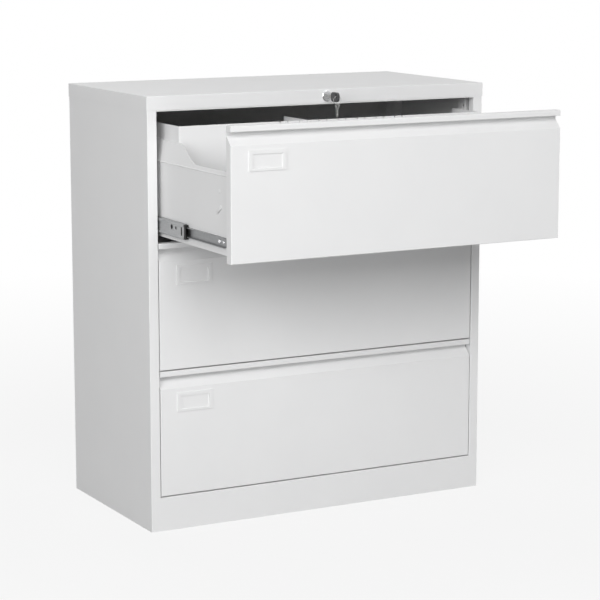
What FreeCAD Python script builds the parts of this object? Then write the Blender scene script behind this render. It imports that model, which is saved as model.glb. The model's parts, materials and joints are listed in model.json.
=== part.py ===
"""A lateral filing cabinet in painted sheet steel, with its top drawer pulled open.

The origin is the middle of the cabinet's footprint on the floor: +X to the right as seen
from the front, +Y to the back, +Z up. Sizes are in millimetres.
A drawer's own pieces are drawn from the bottom edge of its front: y runs back from the
front's face and z up from its lower edge.
"""
import FreeCAD, Part
import os
import re

import Sketcher

SIZES = {
    # The whole cabinet
    "cabinet_width": 900,
    "cabinet_depth": 460,
    "cabinet_height": 1015,
    # Sheet steel: thickness, the play between pieces that nest, and the bends
    "sheet": 1,
    "fit": 0.2,
    "bend": 1.5,
    # Carcass
    "lid_flange": 32,
    "plinth_height": 80,
    "stile_width": 25,
    "stile_return": 22,
    "rear_flange": 20,
    "rail_show": 3,
    "rail_depth": 23,
    "upright_front": 55,
    "upright_rear": 68,
    "upright_depth": 30,
    "upright_sheet": 1.5,
    "slot_drop": 21,
    "slot_offset": 8,
    "slot_size": 6,
    "buffer_size": 7,
    "buffer_drop": 32.5,
    "buffer_offset": 4,
    # Drawer fronts and their finger pulls
    "drawer_gap": 3,
    "side_gap": 2,
    "pull_depth": 20,
    "lip_height": 13,
    "pull_neck": 9,
    "label_width": 90,
    "label_height": 45,
    "label_rim": 8.5,
    "label_sill": 5.5,
    "label_proud": 2.2,
    "label_inset": 43,
    "label_drop": 53,
    # Drawer boxes
    "rear_room": 32,
    "wall_bottom": 13,
    "wall_drop": 63,
    "wall_flange": 16,
    "wall_lean": 8,
    "wall_hem": 5,
    "bead_drop": 111,
    "bead_size": 1.6,
    "low_drop": 101.5,
    "ramp_start": 190,
    "ramp_end": 298,
    "divider_setback": 308,
    "divider_drop": 26.5,
    "divider_offset": 70,
    "notch_pitch": 51,
    "notch_pair": 20.5,
    "notch_offset": 11,
    "notch_width": 3,
    "notch_depth": 4,
    # Telescopic slides
    "slide_thickness": 12.7,
    "slide_sheet": 1.2,
    "slide_centre": 41,
    "slide_inset": 44,
    "slide_rear_room": 13.6,
    "outer_height": 45,
    "middle_height": 35,
    "inner_height": 22,
    "middle_setback": 8,
    "middle_tail": 4,
    "inner_lip": 7.5,
    "middle_face": 9.8,
    "middle_lip": 2,
    "outer_lip": 3,
    "hole_size": 5,
    "middle_hole": 42,
    "middle_hole_next": 64,
    "middle_hole_small": 7.5,
    "middle_hole_large": 11,
    "middle_hole_rise": 4.5,
    "inner_hole": 30,
    "cage_inset": 4,
    "cage_margin": 20,
    "bumper_length": 8,
    "race_play": 0.3,
    "screw_shank": 4,
    "screw_head": 7,
    "head_height": 0.9,
    "screw_tail": 2,
    "top_short": 31,
    # Lock, its bars and its key
    "lock_offset": 14,
    "barrel_diameter": 19,
    "barrel_length": 26,
    "bezel_diameter": 25,
    "bezel_proud": 2.5,
    "bezel_edge": 1,
    "plug_diameter": 14,
    "plug_tail": 2,
    "nut_diameter": 27,
    "nut_thickness": 4,
    "cam_thickness": 2,
    "cam_width": 9,
    "pin_diameter": 5,
    "lock_throw": 12,
    "bar_thickness": 2,
    "bar_height": 14,
    "bar_play": 0.5,
    "bar_room": 4,
    "bar_overhang": 14,
    "bar_tail": 40,
    "guide_height": 20,
    "guide_wall": 1.5,
    "guide_level": 200,
    "finger_reach": 14,
    "finger_height": 14,
    "finger_room": 2,
    "catch_height": 10,
    "catch_level": 100,
    "catch_length": 28,
    "catch_room": 3,
    "catch_gap": 1,
    "catch_sheet": 2,
    "key_gap": 21.5,
    "key_thickness": 6,
    "bow_length": 32,
    "bow_height": 22,
    "bow_corner": 9,
    "bow_hole": 7,
    "bow_hole_inset": 6,
    "bow_web": 12,
    "blade_thickness": 1.9,
    "blade_height": 8,
    "blade_depth": 18,
    "ring_diameter": 20,
    "ring_wire": 1.4,
    "ring_play": 1.4,
}

LEVELS = ("bottom", "middle", "top")
NOTCHES = range(-3, 4)
RAMP_STEPS = 12
HANDS = {"left": -1, "right": 1}
SLOPE = 45

# Outer faces of the body under the lid, and the inner faces of the stiles
BODY_X = "(cabinet_width / 2 - sheet - fit)"
BODY_Y = "(cabinet_depth / 2 - sheet - fit)"
OPEN_X = "(cabinet_width / 2 - stile_width)"
LID_EDGE = "(cabinet_height - lid_flange)"
BODY_TOP = "(cabinet_height - sheet - fit)"
OPEN_TOP = "(cabinet_height - lid_flange - rail_show)"
BACK_FACE = f"({BODY_Y} - 2 * sheet - 2 * fit)"

# A drawer's front, and the levels inside the drawer measured down from the front's top
FRONT_X = f"({OPEN_X} - side_gap)"
FRONT_H = f"(({OPEN_TOP} - plinth_height - {len(LEVELS) + 1} * drawer_gap) / {len(LEVELS)})"
FRONT_BACK = "(pull_depth + sheet)"
BOX_FRONT = f"({FRONT_BACK} + sheet)"
BOX_BACK = f"(2 * {BODY_Y} - rear_room)"
WALL_X = f"({OPEN_X} - slide_thickness)"
WALL_TOP = f"({FRONT_H} - wall_drop)"
LOW_TOP = f"({FRONT_H} - low_drop)"
BEAD = f"({FRONT_H} - bead_drop)"
DIVIDER_X = f"({WALL_X} - wall_lean - wall_hem - fit)"
DIVIDER_TOP = f"({FRONT_H} - divider_drop)"
FLOOR = "(wall_bottom + sheet)"

# The slides' travel, and the ends of their three members
TRAVEL = f"(2 * {BODY_Y} - slide_rear_room - slide_inset)"
OUTER_END = f"(2 * {BODY_Y} - slide_rear_room)"
MIDDLE_FRONT = "(slide_inset + middle_setback)"
MIDDLE_END = f"({BOX_BACK} - middle_tail)"
MIDDLE_SHARE = 0.5
UPRIGHTS = {"front": "upright_front", "rear": f"(2 * {BODY_Y} - upright_rear)"}
OPENED = {"bottom": "0", "middle": "0", "top": f"({TRAVEL} - top_short)"}

# The lock's axis, and the plane of the bars behind it
LOCK_Y = "(-cabinet_depth / 2)"
LOCK_Z = "(cabinet_height - lid_flange / 2)"
BORE = "(plug_diameter / 2 + fit)"
CAM_Y = "(barrel_length + plug_tail)"
BAR_Y = f"({CAM_Y} + cam_thickness + bar_play)"
CAM_REACH = "(lock_throw / sqrt(2))"
CAM_REST_ANGLE = -45
SIDE_BAR = (f"({OPEN_X} + bar_room + sheet)", f"({BODY_X} - sheet - bar_room)")
BOW_BACK = "(-bezel_proud - key_gap)"
BOW_FRONT = f"({BOW_BACK} - bow_length)"
HOLE_Y = f"({BOW_FRONT} + bow_hole_inset)"
HOLE_Z = "(-bow_height / 2 + bow_web + bow_hole / 2)"
RING_Z = "(-bow_height / 2 + bow_web + ring_play + ring_wire / 2 - ring_diameter / 2)"

DOC = FreeCAD.newDocument("lateral_filing_cabinet")
SHEET = DOC.addObject("Spreadsheet::Sheet", "Sizes")
WORD = re.compile(r"[a-z_]+")
CLOSE = 1e-4
NODES = {}


def fill_sheet():
    """Writes each driving size to a cell of its own and gives the cell the size's name."""
    for row, (name, value) in enumerate(SIZES.items(), start=1):
        SHEET.set(f"A{row}", str(value))
        SHEET.setAlias(f"A{row}", name)
    DOC.recompute()


def linked(expression):
    """The expression with each size's name turned into a link to its cell."""
    return WORD.sub(lambda word: f"Sizes.{word[0]}" if word[0] in SIZES else word[0], expression)


def number(expression):
    """What the expression comes to, in millimetres."""
    return float(SHEET.evalExpression(linked(expression)))


def bind(made, prop, expression):
    """Ties one property of an object to the sheet."""
    made.setExpression(prop, linked(expression))


def place(made, x="0", y="0", z="0"):
    """Ties an object's place to the sheet, and leaves its turn as it is."""
    for axis, expression in zip("xyz", (x, y, z)):
        bind(made, f"Placement.Base.{axis}", expression)
    return made


def node(name, made):
    """Names a finished piece, which becomes a file of that name."""
    made.Label = name
    NODES[name] = made
    return made


# Solids from primitives


def box(name, x, y, z):
    """A block that spans a pair of expressions on each axis."""
    made = DOC.addObject("Part::Box", name)
    for side, (low, high) in zip(("Length", "Width", "Height"), (x, y, z)):
        bind(made, side, f"({high}) - ({low})")
    return place(made, x[0], y[0], z[0])


def rod(name, axis, span, centre, diameter):
    """A cylinder along X or Y that spans a pair of expressions, about a centre on the other two axes."""
    made = DOC.addObject("Part::Cylinder", name)
    bind(made, "Radius", f"({diameter}) / 2")
    bind(made, "Height", f"({span[1]}) - ({span[0]})")
    across = FreeCAD.Vector(0, 1, 0) if axis == "x" else FreeCAD.Vector(1, 0, 0)
    made.Placement.Rotation = FreeCAD.Rotation(across, 90 if axis == "x" else -90)
    if axis == "x":
        return place(made, span[0], *centre)
    return place(made, centre[0], span[0], centre[1])


def fuse(name, *pieces):
    made = DOC.addObject("Part::MultiFuse", name)
    made.Shapes = list(pieces)
    made.Refine = True
    return made


def cut(name, base, *tools):
    made = DOC.addObject("Part::Cut", name)
    made.Base = base
    made.Tool = tools[0] if len(tools) == 1 else group(name + "_tools", *tools)
    made.Refine = True
    return made


def group(name, *pieces):
    """Separate solids that are one node."""
    made = DOC.addObject("Part::Compound", name)
    made.Links = list(pieces)
    return made


def mirrored(made):
    """The same piece on the cabinet's other side."""
    other = DOC.addObject("Part::Mirroring", made.Name + "_mirrored")
    other.Source = made
    other.Normal = FreeCAD.Vector(1, 0, 0)
    return other


# Solids from folded outlines


def add_outline(sketch, points):
    """A closed outline whose corners are tied to the sheet."""
    corners = [FreeCAD.Vector(number(u), number(v), 0) for u, v in points]
    first = sketch.GeometryCount
    count = len(corners)
    lines = [Part.LineSegment(corners[i], corners[(i + 1) % count]) for i in range(count)]
    sketch.addGeometry(lines, False)
    for i in range(count):
        joined = Sketcher.Constraint("Coincident", first + i, 2, first + (i + 1) % count, 1)
        sketch.addConstraint(joined)
    for i, (point, corner) in enumerate(zip(points, corners)):
        for axis, expression, value in zip("XY", point, corner):
            held = Sketcher.Constraint("Distance" + axis, -1, 1, first + i, 1, value)
            bind(sketch, f"Constraints[{sketch.addConstraint(held)}]", expression)


def add_circle(sketch, centre, diameter):
    """A circle whose centre and size are tied to the sheet."""
    middle = FreeCAD.Vector(number(centre[0]), number(centre[1]), 0)
    circle = Part.Circle(middle, FreeCAD.Vector(0, 0, 1), number(diameter) / 2)
    index = sketch.addGeometry(circle, False)
    for axis, expression, value in zip("XY", centre, middle):
        held = Sketcher.Constraint("Distance" + axis, -1, 1, index, 3, value)
        bind(sketch, f"Constraints[{sketch.addConstraint(held)}]", expression)
    size = sketch.addConstraint(Sketcher.Constraint("Diameter", index, number(diameter)))
    bind(sketch, f"Constraints[{size}]", diameter)


def sketch_on(body, plane, offset, outlines=(), circles=()):
    """A sketch on one of the body's own planes, moved along the plane's normal."""
    sketch = body.newObject("Sketcher::SketchObject", body.Name + "_sketch")
    roles = {feature.Role: feature for feature in body.Origin.OriginFeatures}
    sketch.AttachmentSupport = (roles[plane + "_Plane"], [""])
    sketch.MapMode = "FlatFace"
    bind(sketch, "AttachmentOffset.Base.z", offset)
    for points in outlines:
        add_outline(sketch, points)
    for centre, diameter in circles:
        add_circle(sketch, centre, diameter)
    return sketch


def pad(body, plane, points, span):
    """Extrudes an outline across the span: along Z, X or Y for the planes XY, YZ and XZ."""
    low, high = span
    offset = f"-({high})" if plane == "XZ" else low
    made = body.newObject("PartDesign::Pad", body.Name + "_pad")
    made.Profile = sketch_on(body, plane, offset, [points])
    bind(made, "Length", f"({high}) - ({low})")
    return made


def pocket(body, plane, span, outlines=(), circles=()):
    """Cuts outlines and circles out of the body across the span, and sees that something was cut."""
    low, high = span
    DOC.recompute()
    before = body.Shape.Volume
    offset = f"-({low})" if plane == "XZ" else high
    made = body.newObject("PartDesign::Pocket", body.Name + "_pocket")
    made.Profile = sketch_on(body, plane, offset, outlines, circles)
    bind(made, "Length", f"({high}) - ({low})")
    DOC.recompute()
    if body.Shape.Volume >= before:
        raise ValueError(f"{body.Name}: a cut along {plane} removed nothing")
    return made


def profile(name, plane, points, span):
    """A body that is one outline extruded."""
    body = DOC.addObject("PartDesign::Body", name)
    pad(body, plane, points, span)
    return body


def revolved(name, points):
    """A body turned about its own Y axis from an outline of (radius, y)."""
    body = DOC.addObject("PartDesign::Body", name)
    sketch = sketch_on(body, "XY", "0", [points])
    made = body.newObject("PartDesign::Revolution", name + "_turned")
    made.Profile = sketch
    made.ReferenceAxis = (sketch, ["V_Axis"])
    made.Angle = 360
    return body


def round_edges(body, radius, chosen):
    """Rounds the edges of a body whose two ends pass the test."""
    DOC.recompute()
    tip = body.Tip
    picked = []
    for index, edge in enumerate(tip.Shape.Edges, start=1):
        ends = [vertex.Point for vertex in edge.Vertexes]
        if len(ends) == 2 and chosen(*ends):
            picked.append(f"Edge{index}")
    made = body.newObject("PartDesign::Fillet", body.Name + "_bend")
    made.Base = (tip, picked)
    bind(made, "Radius", radius)
    return made


def near(value, expression):
    return abs(value - number(expression)) < CLOSE


def handed(hand, points):
    """The outline on one side of the cabinet, from its outline on the right."""
    return [(f"{HANDS[hand]} * ({u})", v) for u, v in points]


# Places


def front_z(level):
    """The height of a drawer front's lower edge."""
    return f"(plinth_height + drawer_gap + {LEVELS.index(level)} * ({FRONT_H} + drawer_gap))"


def seat(made, level, share):
    """Puts a piece drawn in a drawer's own frame at its level, moved out by its share of the opening."""
    return place(made, y=f"-{BODY_Y} - {share} * {OPENED[level]}", z=front_z(level))


def at_lock(made):
    """Puts a piece drawn about the lock's axis at the lock."""
    return place(made, "lock_offset", LOCK_Y, LOCK_Z)


# Carcass


def side_panel(hand):
    """The outer wall with the stile and its return in front, and a flange behind."""
    front = f"-{BODY_Y}"
    points = [
        (BODY_X, front),
        (OPEN_X, front),
        (OPEN_X, f"{front} + stile_return"),
        (f"{OPEN_X} + sheet", f"{front} + stile_return"),
        (f"{OPEN_X} + sheet", f"{front} + sheet"),
        (f"{BODY_X} - sheet", f"{front} + sheet"),
        (f"{BODY_X} - sheet", f"{BODY_Y} - sheet"),
        (f"{BODY_X} - rear_flange", f"{BODY_Y} - sheet"),
        (f"{BODY_X} - rear_flange", BODY_Y),
        (BODY_X, BODY_Y),
    ]
    body = profile(f"{hand}_side", "XY", handed(hand, points), ("0", BODY_TOP))
    corners = [(BODY_X, front), (OPEN_X, front), (BODY_X, BODY_Y)]

    def at_corner(low, high):
        """Whether an edge runs up one of the panel's outer corners."""
        runs_up = abs(low.z - high.z) > CLOSE
        return runs_up and any(near(abs(low.x), x) and near(low.y, y) for x, y in corners)

    round_edges(body, "bend", at_corner)
    node(f"{hand}_side_panel", body)


def back_panel():
    x = f"({BODY_X} - sheet - fit)"
    y = f"({BODY_Y} - sheet - fit)"
    node("back_panel", box("back", (f"-{x}", x), (BACK_FACE + " + fit", y), ("0", BODY_TOP)))


def rectangle(x, y):
    """The corners of a rectangle that spans a pair of expressions each way."""
    return [(x[0], y[0]), (x[1], y[0]), (x[1], y[1]), (x[0], y[1])]


def top_lid():
    """The cap: a top with four flanges turned down over the body, bored for the lock."""
    x = "cabinet_width / 2"
    y = "cabinet_depth / 2"
    outer = rectangle((f"-{x}", x), (f"-{y}", y))
    inner = rectangle((f"-{x} + sheet", f"{x} - sheet"), (f"-{y} + sheet", f"{y} - sheet"))
    body = profile("lid", "XY", outer, (LID_EDGE, "cabinet_height"))
    pocket(body, "XY", (LID_EDGE, "cabinet_height - sheet"), [inner])
    bore = (("lock_offset", LOCK_Z), "barrel_diameter + 2 * fit")
    pocket(body, "XZ", (f"-{y}", f"-{y} + sheet"), circles=[bore])

    def outside(first, last):
        """Whether an edge is one of the lid's outer ones, other than the flanges' lower edges."""
        if near(first.z, LID_EDGE) and near(last.z, LID_EDGE):
            return False
        return all(near(abs(point.x), x) and near(abs(point.y), y) for point in (first, last))

    round_edges(body, "bend", outside)
    node("top_lid", body)


def base_tray():
    """The cabinet's floor, with flanges turned down to the ground; the front one is the plinth."""
    x = f"({OPEN_X} - fit)"
    front = f"-{BODY_Y}"
    outer = rectangle((f"-{x}", x), (front, BACK_FACE))
    inner = rectangle((f"-{x} + sheet", f"{x} - sheet"), (f"{front} + sheet", f"{BACK_FACE} - sheet"))
    body = profile("base", "XY", outer, ("0", "plinth_height"))
    pocket(body, "XY", ("0", "plinth_height - sheet"), [inner])

    def at_nose(*ends):
        """Whether an edge is the plinth's upper front one."""
        return all(near(point.y, front) and near(point.z, "plinth_height") for point in ends)

    round_edges(body, "bend", at_nose)
    node("base_tray", body)


def front_top_rail():
    """The rail behind the lid's front flange; its lower lip is the top of the drawers' opening."""
    front = f"-{BODY_Y}"
    points = [
        (front, OPEN_TOP),
        (f"{front} + rail_depth", OPEN_TOP),
        (f"{front} + rail_depth", f"{OPEN_TOP} + sheet"),
        (f"{front} + sheet", f"{OPEN_TOP} + sheet"),
        (f"{front} + sheet", BODY_TOP),
        (front, BODY_TOP),
    ]
    x = f"({OPEN_X} - fit)"
    body = profile("top_rail", "YZ", points, (f"-{x}", x))
    bore = (("lock_offset", LOCK_Z), "barrel_diameter + 2 * fit")
    pocket(body, "XZ", (front, f"{front} + sheet"), circles=[bore])
    node("front_top_rail", body)


def upright(hand, where):
    """One of the four channels that carry the slides, open towards the side panel."""
    middle = f"(-{BODY_Y} + {UPRIGHTS[where]})"
    low = f"({middle} - upright_depth / 2)"
    high = f"({middle} + upright_depth / 2)"
    outside = f"({BODY_X} - sheet - fit)"
    inside = f"({OPEN_X} + upright_sheet)"
    points = [
        (OPEN_X, low),
        (outside, low),
        (outside, f"{low} + upright_sheet"),
        (inside, f"{low} + upright_sheet"),
        (inside, f"{high} - upright_sheet"),
        (outside, f"{high} - upright_sheet"),
        (outside, high),
        (OPEN_X, high),
    ]
    body = profile(f"upright_{hand}_{where}", "XY", handed(hand, points), ("0", OPEN_TOP))
    face = (OPEN_X, inside) if hand == "right" else (f"-{inside}", f"-{OPEN_X}")
    half = "slot_size / 2"
    slots = []
    for level in LEVELS:
        z = f"({front_z(level)} + {FRONT_H} - slot_drop)"
        y = f"({middle} - slot_offset)"
        slots.append(rectangle((f"{y} - {half}", f"{y} + {half}"), (f"{z} - {half}", f"{z} + {half}")))
    holes = [((middle, f"{front_z(level)} + slide_centre"), "screw_shank + 2 * fit") for level in LEVELS]
    pocket(body, "YZ", face, slots, holes)
    return body


def slide_uprights():
    made = [upright(hand, where) for hand in HANDS for where in UPRIGHTS]
    node("slide_uprights", group("uprights", *made))


def drawer_buffers():
    """White nylon buffers on the front uprights, beside each drawer's top."""
    made = []
    for hand, sign in HANDS.items():
        for level in LEVELS:
            middle = f"(-{BODY_Y} + upright_front - buffer_offset)"
            top = f"({front_z(level)} + {FRONT_H} - buffer_drop + buffer_size / 2)"
            span = (f"{OPEN_X} - buffer_size", OPEN_X)
            x = span if sign > 0 else (f"-{span[1]}", f"-({span[0]})")
            y = (f"{middle} - buffer_size / 2", f"{middle} + buffer_size / 2")
            made.append(box(f"buffer_{hand}_{level}", x, y, (f"{top} - buffer_size", top)))
    node("drawer_buffers", group("buffers", *made))


# Telescopic slides, drawn on the right and mirrored


def channel(name, back, face, lip, height, span):
    """A channel on its side: a web from back to face, whose two lips reach out to a third distance."""
    back, face, lip = (f"({WALL_X} + {distance})" for distance in (back, face, lip))
    top = f"(slide_centre + {height} / 2)"
    foot = f"(slide_centre - {height} / 2)"
    points = [
        (back, top),
        (back, foot),
        (lip, foot),
        (lip, f"{foot} + slide_sheet"),
        (face, f"{foot} + slide_sheet"),
        (face, f"{top} - slide_sheet"),
        (lip, f"{top} - slide_sheet"),
        (lip, top),
    ]
    return profile(name, "XZ", points, span)


def pair(name, made, level, share):
    """A piece and its mirror image as one node, at a drawer's level."""
    node(name, seat(group(name + "_pair", made, mirrored(made)), level, share))


def drill_web(body, web, holes, rise="0"):
    """Bores a channel's web at places behind the drawer's front, above its middle by the rise."""
    span = tuple(f"{WALL_X} + {edge}" for edge in web)
    circles = [((y, f"slide_centre + {rise}"), diameter) for y, diameter in holes]
    pocket(body, "YZ", span, circles=circles)


def slide_outer(level):
    """The members that are screwed to the uprights."""
    web = ("slide_thickness - slide_sheet", "slide_thickness")
    span = ("slide_inset", OUTER_END)
    body = channel(f"outer_{level}", web[1], web[0], "outer_lip", "outer_height", span)
    drill_web(body, web, [(y, "screw_shank + 2 * fit") for y in UPRIGHTS.values()])
    pair(f"slide_outer_{level}", body, level, 0)


def slide_middle(level):
    """The members that move half as far as the drawer."""
    web = ("middle_face - slide_sheet", "middle_face")
    span = (MIDDLE_FRONT, MIDDLE_END)
    body = channel(f"middle_{level}", web[1], web[0], "middle_lip", "middle_height", span)
    places = (("middle_hole", "middle_hole_small"), ("middle_hole_next", "middle_hole_large"))
    holes = [(f"{MIDDLE_FRONT} + {back}", size) for back, size in places]
    drill_web(body, web, holes, "middle_hole_rise")
    pair(f"slide_middle_{level}", body, level, MIDDLE_SHARE)


def slide_inner(level):
    """The members on the drawer's own walls."""
    web = ("0", "slide_sheet")
    span = ("slide_inset", BOX_BACK)
    body = channel(f"inner_{level}", web[0], web[1], "inner_lip", "inner_height", span)
    drill_web(body, web, [("slide_inset + inner_hole", "hole_size")])
    pair(f"slide_inner_{level}", body, level, 1)


def race_strip(name, x, low, high, span, sign):
    """One strip of a ball cage, above or below the slide's middle."""
    ends = [f"slide_centre + {sign} * ({edge})" for edge in (low, high)]
    return box(name, tuple(f"{WALL_X} + {edge}" for edge in x), span, tuple(ends[::sign]))


def ball_retainers(level):
    """The plastic ball cages between the members, and the bumper in front of the middle one."""
    nose = (f"{MIDDLE_FRONT} - bumper_length", MIDDLE_FRONT)
    bumper = profile(f"bumper_{level}", "XZ", bumper_outline(), nose)
    inner_race = ("inner_height / 2 + race_play", "middle_height / 2 - slide_sheet - race_play")
    outer_race = ("middle_height / 2 + race_play", "outer_height / 2 - slide_sheet - race_play")
    front = (f"{MIDDLE_FRONT} + cage_inset", f"{BOX_BACK} - {TRAVEL} / 2 - cage_margin")
    rear = (f"slide_inset + {TRAVEL} / 2 + cage_margin", f"{MIDDLE_END} - cage_inset")
    made = [bumper]
    for side, sign in (("over", 1), ("under", -1)):
        inner_x = ("middle_lip + race_play", "inner_lip - race_play")
        outer_x = ("outer_lip + race_play", "middle_face - race_play")
        made.append(race_strip(f"inner_cage_{side}_{level}", inner_x, *inner_race, front, sign))
        made.append(race_strip(f"outer_cage_{side}_{level}", outer_x, *outer_race, rear, sign))
    pair(f"ball_retainers_{level}", group(f"retainers_{level}", *made), level, MIDDLE_SHARE)


def bumper_outline():
    """A block that clears the inner member and closes the middle one's front end."""
    tip = f"({WALL_X} + middle_lip)"
    hollow = f"({WALL_X} + inner_lip + 2 * race_play)"
    back = f"({WALL_X} + middle_face)"
    reach = "(middle_height / 2 - slide_sheet - race_play)"
    clear = "(inner_height / 2 + race_play)"
    return [
        (tip, f"slide_centre + {reach}"),
        (back, f"slide_centre + {reach}"),
        (back, f"slide_centre - {reach}"),
        (tip, f"slide_centre - {reach}"),
        (tip, f"slide_centre - {clear}"),
        (hollow, f"slide_centre - {clear}"),
        (hollow, f"slide_centre + {clear}"),
        (tip, f"slide_centre + {clear}"),
    ]


def slide_screws():
    """The screws that hold the outer members to the uprights."""
    made = []
    for level in LEVELS:
        for where, y in UPRIGHTS.items():
            seat_x = f"({WALL_X} + slide_thickness - slide_sheet)"
            centre = (f"-{BODY_Y} + {y}", f"{front_z(level)} + slide_centre")
            name = f"screw_{level}_{where}"
            head = rod(name + "_head", "x", (f"{seat_x} - head_height", seat_x), centre, "screw_head")
            shank_end = f"{seat_x} + slide_sheet + upright_sheet + screw_tail"
            shank = rod(name + "_shank", "x", (seat_x, shank_end), centre, "screw_shank")
            made.append(fuse(name, head, shank))
    right = group("screws_right", *made)
    node("slide_screws", group("screws", right, mirrored(right)))


# Drawers


def drawer_front(level):
    """The folded front: a lip to pull by, a recess under it, a slope and a flat face, with closed ends."""
    lip = f"({FRONT_H} - lip_height)"
    neck = f"({lip} - pull_neck)"
    slope = f"({neck} - pull_depth * tan({SLOPE}))"
    inset = f"(sheet * tan({SLOPE} / 2))"
    folded = [
        (FRONT_BACK, FRONT_H),
        ("0", FRONT_H),
        ("0", lip),
        ("pull_depth", lip),
        ("pull_depth", neck),
        ("0", slope),
        ("0", "0"),
        (FRONT_BACK, "0"),
        (FRONT_BACK, "sheet"),
        ("sheet", "sheet"),
        ("sheet", f"{slope} - {inset}"),
        (FRONT_BACK, f"{neck} - {inset}"),
        (FRONT_BACK, f"{lip} + sheet"),
        ("sheet", f"{lip} + sheet"),
        ("sheet", f"{FRONT_H} - sheet"),
        (FRONT_BACK, f"{FRONT_H} - sheet"),
    ]
    end = folded[:8]
    body = profile(f"front_{level}", "YZ", folded, (f"-{FRONT_X}", FRONT_X))
    pad(body, "YZ", end, (f"-{FRONT_X}", f"-{FRONT_X} + sheet"))
    pad(body, "YZ", end, (f"{FRONT_X} - sheet", FRONT_X))
    round_edges(body, "bend", lambda *ends: all(near(point.y, "0") for point in ends))
    node(f"drawer_front_{level}", seat(body, level, 1))


def front_liner(level):
    """The plate that closes the front's back."""
    x = f"({FRONT_X} - sheet)"
    made = box(f"liner_{level}", (f"-{x}", x), (FRONT_BACK, BOX_FRONT), ("sheet", f"{FRONT_H} - sheet"))
    placed_in_drawer(f"front_liner_{level}", made, level)


def placed_in_drawer(name, made, level):
    """A piece whose own place is in the drawer's frame, as a node at the drawer's level."""
    node(name, seat(group(name + "_seat", made), level, 1))


def label_holder(level):
    """The frame for a paper label on the drawer's front."""
    left = f"(-{FRONT_X} + label_inset)"
    top = f"({FRONT_H} - label_drop)"
    x = (left, f"{left} + label_width")
    z = (f"{top} - label_height", top)
    body = profile(f"label_{level}", "XZ", rectangle(x, z), ("-label_proud", "0"))
    window = rectangle(
        (f"{x[0]} + label_rim", f"{x[1]} - label_rim"),
        (f"{z[0]} + label_sill", f"{z[1]} - label_rim"),
    )
    pocket(body, "XZ", ("-label_proud", "0"), [window])
    node(f"label_holder_{level}", seat(body, level, 1))


def drawer_bottom(level):
    x = f"({WALL_X} - sheet - fit)"
    y = (BOX_FRONT, f"{BOX_BACK} - sheet")
    made = box(f"bottom_{level}", (f"-{x}", x), y, (FLOOR, f"{FLOOR} + sheet"))
    placed_in_drawer(f"drawer_bottom_{level}", made, level)


def ramp_outline():
    """What is cut from a wall's upper band: its front part, up to an S-shaped rise to the full height."""
    above = f"({WALL_TOP} + sheet)"
    points = [(f"{BOX_FRONT} - sheet", above), (f"{BOX_FRONT} - sheet", LOW_TOP)]
    for step in range(RAMP_STEPS + 1):
        along = step / RAMP_STEPS
        rise = along * along * (3 - 2 * along)
        back = f"ramp_start + {along} * (ramp_end - ramp_start)"
        points.append((back, f"{LOW_TOP} + {rise} * ({above} - {LOW_TOP})"))
    return points


def drawer_side(level, hand):
    """A wall with a flange under the floor, a bead, and a band above that leans in to a hemmed edge."""
    lean = f"({WALL_X} - wall_lean)"
    points = [
        (f"{WALL_X} - wall_flange", "wall_bottom"),
        (WALL_X, "wall_bottom"),
        (WALL_X, f"{BEAD} - bead_size"),
        (f"{WALL_X} + bead_size", BEAD),
        (WALL_X, f"{BEAD} + bead_size"),
        (lean, WALL_TOP),
        (f"{lean} - wall_hem", WALL_TOP),
        (f"{lean} - wall_hem", f"{WALL_TOP} - sheet"),
        (f"{lean} - sheet", f"{WALL_TOP} - sheet"),
        (f"{WALL_X} - sheet", f"{BEAD} + bead_size"),
        (f"{WALL_X} + bead_size - sheet", BEAD),
        (f"{WALL_X} - sheet", f"{BEAD} - bead_size"),
        (f"{WALL_X} - sheet", FLOOR),
        (f"{WALL_X} - wall_flange", FLOOR),
    ]
    body = profile(f"wall_{hand}_{level}", "XZ", handed(hand, points), (BOX_FRONT, f"{BOX_BACK} - sheet"))
    reach = f"({WALL_X} + 2 * bead_size)"
    span = ("0", reach) if hand == "right" else (f"-{reach}", "0")
    pocket(body, "YZ", span, [ramp_outline()])
    node(f"drawer_{hand}_side_{level}", seat(body, level, 1))


def drawer_back(level):
    lean = f"({WALL_X} - wall_lean)"
    points = [
        (f"-{WALL_X}", "wall_bottom"),
        (WALL_X, "wall_bottom"),
        (WALL_X, f"{BEAD} + bead_size"),
        (lean, WALL_TOP),
        (f"-{lean}", WALL_TOP),
        (f"-{WALL_X}", f"{BEAD} + bead_size"),
    ]
    body = profile(f"rear_{level}", "XZ", points, (f"{BOX_BACK} - sheet", BOX_BACK))
    node(f"drawer_back_{level}", seat(body, level, 1))


def file_dividers(level):
    """A cross panel with notches in pairs, and three plates from it to the drawer's back."""
    foot = f"({FLOOR} + sheet)"
    back = f"({BOX_BACK} - sheet)"
    panel = ("divider_setback", "divider_setback + sheet")
    outline = rectangle((f"-{DIVIDER_X}", DIVIDER_X), (foot, DIVIDER_TOP))
    body = profile(f"cross_{level}", "XZ", outline, panel)
    notches = []
    for step in NOTCHES:
        first = f"(notch_offset + {step} * notch_pitch)"
        for middle in (first, f"({first} + notch_pair)"):
            x = (f"{middle} - notch_width / 2", f"{middle} + notch_width / 2")
            notches.append(rectangle(x, (f"{DIVIDER_TOP} - notch_depth", f"{DIVIDER_TOP} + sheet")))
    pocket(body, "XZ", panel, notches)
    places = {"left": f"-{DIVIDER_X}", "middle": "-divider_offset", "right": f"{DIVIDER_X} - sheet"}
    plates = [
        box(f"plate_{where}_{level}", (x, f"{x} + sheet"), (panel[1], back), (foot, DIVIDER_TOP))
        for where, x in places.items()
    ]
    node(f"file_dividers_{level}", seat(group(f"dividers_{level}", body, *plates), level, 1))


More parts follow.
